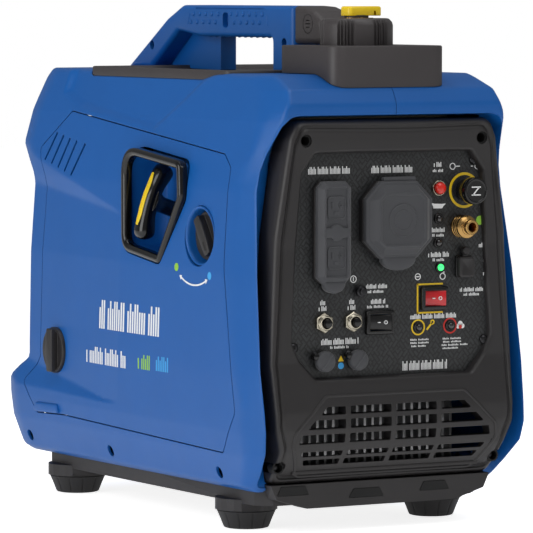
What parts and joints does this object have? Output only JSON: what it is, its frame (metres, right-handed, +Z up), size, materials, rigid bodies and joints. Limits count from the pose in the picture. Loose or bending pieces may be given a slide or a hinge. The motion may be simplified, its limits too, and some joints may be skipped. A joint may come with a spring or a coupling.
{
  "type": "portable generator",
  "caption": "Suitcase inverter generator: moulded shells on rubber feet, carrying handle, recoil starter, fuel cap and a front control panel with covered outlets.",
  "frame": {"origin": "on the floor, under the middle of the body", "axes": "+X to the right of someone who faces the control panel, the panel faces -Y, +Z up"},
  "size_m": [0.2813, 0.4924, 0.455],
  "materials": {
    "blue_plastic": "satin moulded, fine grain",
    "black_plastic": "satin moulded, fine grain",
    "grey_plastic": "matte",
    "cover_rubber": "soft matte",
    "panel_film": "printed woven pattern",
    "foot_rubber": "matte",
    "yellow_plastic": "satin",
    "red_plastic": "gloss",
    "gloss_black": "gloss",
    "nickel": "nickel plated",
    "brass": "turned",
    "cast_aluminium": "cast",
    "steel": "satin",
    "tank_plastic": "satin",
    "rope": "braided"
  },
  "bodies": {
    "root": {"left_shell": "blue_plastic", "right_shell": "blue_plastic", "selector_dish": "blue_plastic", "starter_cup": "blue_plastic", "handle_left_half": "blue_plastic", "handle_right_half": "blue_plastic", "front_bezel": "black_plastic", "rear_cover": "black_plastic", "top_cover": "black_plastic", "filler_surround": "black_plastic", "handle_end_cap": "black_plastic", "duplex_receptacle": "black_plastic", "rv_receptacle": "black_plastic", "usb_socket": "black_plastic", "eco_switch_body": "black_plastic", "engine_switch_body": "black_plastic", "parallel_socket_left": "black_plastic", "parallel_socket_right": "black_plastic", "air_cleaner": "black_plastic", "base_tray": "grey_plastic", "control_panel": "panel_film", "foot_front_left": "foot_rubber", "foot_front_right": "foot_rubber", "foot_rear_left": "foot_rubber", "foot_rear_right": "foot_rubber", "starter_ring": "gloss_black", "breaker_20": "nickel", "breaker_30": "nickel", "ground_terminal": "nickel", "gas_inlet": "brass", "fuel_valve": "brass", "engine_block": "cast_aluminium", "stator": "cast_aluminium", "inverter_module": "cast_aluminium", "recoil_housing": "steel", "muffler": "steel", "fuel_tank": "tank_plastic", "starter_rope": "rope"},
    "starter": {"starter_grip": "gloss_black", "starter_grip_insert": "yellow_plastic"},
    "rope_pulley": {"rope_pulley": "black_plastic"},
    "service_door": {"service_door": "blue_plastic"},
    "door_lock_knob": {"door_lock_knob": "black_plastic"},
    "fuel_selector_knob": {"fuel_selector_knob": "black_plastic"},
    "cap_plug": {"cap_plug": "black_plastic"},
    "fuel_cap": {"fuel_cap": "black_plastic"},
    "vent_lever": {"vent_lever": "yellow_plastic"},
    "duplex_cover": {"duplex_cover": "cover_rubber"},
    "rv_cover": {"rv_cover": "cover_rubber"},
    "usb_cover": {"usb_cover": "cover_rubber"},
    "parallel_cap_left": {"parallel_cap_left": "cover_rubber"},
    "parallel_cap_right": {"parallel_cap_right": "cover_rubber"},
    "reset_button": {"reset_button": "red_plastic"},
    "choke_knob": {"choke_knob": "black_plastic"},
    "breaker_20_button": {"breaker_20_button": "gloss_black"},
    "breaker_30_button": {"breaker_30_button": "gloss_black"},
    "eco_rocker": {"eco_rocker": "black_plastic"},
    "engine_rocker": {"engine_rocker": "red_plastic"},
    "crankshaft": {"crankshaft": "steel", "flywheel_rotor": "steel"}
  },
  "joints": [
    {"name": "starter_pull", "type": "slide", "parent": "root", "child": "starter", "axis": [-0.9397, 0, 0.342], "range_m": [0, 0.55], "stiffness_N_per_m": 30, "springref_m": -0.1, "deforming": ["starter_rope"]},
    {"name": "pulley_spin", "type": "hinge", "parent": "root", "child": "rope_pulley", "pos_m": [0, -0.024, 0.188], "axis": [0, 1, 0], "range_deg": [-720, 0]},
    {"name": "service_door_lift", "type": "slide", "parent": "root", "child": "service_door", "axis": [-1, 0, 0], "range_m": [0, 0.12]},
    {"name": "door_lock_turn", "type": "hinge", "parent": "service_door", "child": "door_lock_knob", "pos_m": [-0.139, 0.1477, 0.1365], "axis": [1, 0, 0], "range_deg": [0, 90]},
    {"name": "fuel_selector_turn", "type": "hinge", "parent": "root", "child": "fuel_selector_knob", "pos_m": [-0.128, -0.129, 0.2555], "axis": [1, 0, 0], "range_deg": [0, 90]},
    {"name": "cap_lift", "type": "slide", "parent": "root", "child": "cap_plug", "axis": [0, 0, 1], "range_m": [0, 0.06]},
    {"name": "cap_turn", "type": "hinge", "parent": "cap_plug", "child": "fuel_cap", "pos_m": [0, -0.1695, 0.43], "axis": [0, 0, 1], "range_deg": [0, 120]},
    {"name": "vent_lever_turn", "type": "hinge", "parent": "fuel_cap", "child": "vent_lever", "pos_m": [0, -0.1695, 0.45], "axis": [0, 0, 1], "range_deg": [0, 90]},
    {"name": "duplex_cover_flip", "type": "hinge", "parent": "root", "child": "duplex_cover", "pos_m": [-0.061, -0.2306, 0.306], "axis": [-1, 0, 0], "range_deg": [0, 110], "stiffness_Nm_per_rad": 0.02, "springref_deg": -20.05},
    {"name": "rv_cover_flip", "type": "hinge", "parent": "root", "child": "rv_cover", "pos_m": [0.0025, -0.2326, 0.305], "axis": [-1, 0, 0], "range_deg": [0, 110], "stiffness_Nm_per_rad": 0.03, "springref_deg": -20.05},
    {"name": "usb_cover_flip", "type": "hinge", "parent": "root", "child": "usb_cover", "pos_m": [0.0745, -0.2291, 0.2434], "axis": [-1, 0, 0], "range_deg": [0, 95], "stiffness_Nm_per_rad": 0.005, "springref_deg": -11.46},
    {"name": "parallel_cap_left_flip", "type": "hinge", "parent": "root", "child": "parallel_cap_left", "pos_m": [-0.0814, -0.2286, 0.1572], "axis": [-0.4472, 0, -0.8944], "range_deg": [0, 95], "stiffness_Nm_per_rad": 0.004, "springref_deg": -11.46},
    {"name": "parallel_cap_right_flip", "type": "hinge", "parent": "root", "child": "parallel_cap_right", "pos_m": [-0.0484, -0.2286, 0.1572], "axis": [-0.4472, 0, -0.8944], "range_deg": [0, 95], "stiffness_Nm_per_rad": 0.004, "springref_deg": -11.46},
    {"name": "reset_button_press", "type": "slide", "parent": "root", "child": "reset_button", "axis": [0, 1, 0], "range_m": [0, 0.003], "stiffness_N_per_m": 600, "springref_m": -0.001},
    {"name": "choke_pull", "type": "slide", "parent": "root", "child": "choke_knob", "axis": [0, -1, 0], "range_m": [0, 0.015]},
    {"name": "breaker_20_press", "type": "slide", "parent": "root", "child": "breaker_20_button", "axis": [0, 1, 0], "range_m": [0, 0.003], "stiffness_N_per_m": 600, "springref_m": -0.001},
    {"name": "breaker_30_press", "type": "slide", "parent": "root", "child": "breaker_30_button", "axis": [0, 1, 0], "range_m": [0, 0.003], "stiffness_N_per_m": 600, "springref_m": -0.001},
    {"name": "eco_rocker_tilt", "type": "hinge", "parent": "root", "child": "eco_rocker", "pos_m": [-0.011, -0.2254, 0.182], "axis": [0, 0, 1], "range_deg": [-16, 0]},
    {"name": "engine_rocker_tilt", "type": "hinge", "parent": "root", "child": "engine_rocker", "pos_m": [0.0445, -0.2254, 0.201], "axis": [0, 0, 1], "range_deg": [-16, 0]},
    {"name": "crankshaft_spin", "type": "hinge", "parent": "root", "child": "crankshaft", "pos_m": [0, 0.05, 0.188], "axis": [0, 1, 0], "continuous": true}
  ],
  "couplings": [
    {"joint": "pulley_spin", "follows": "starter_pull", "rad_per_m": -22.272}
  ]
}
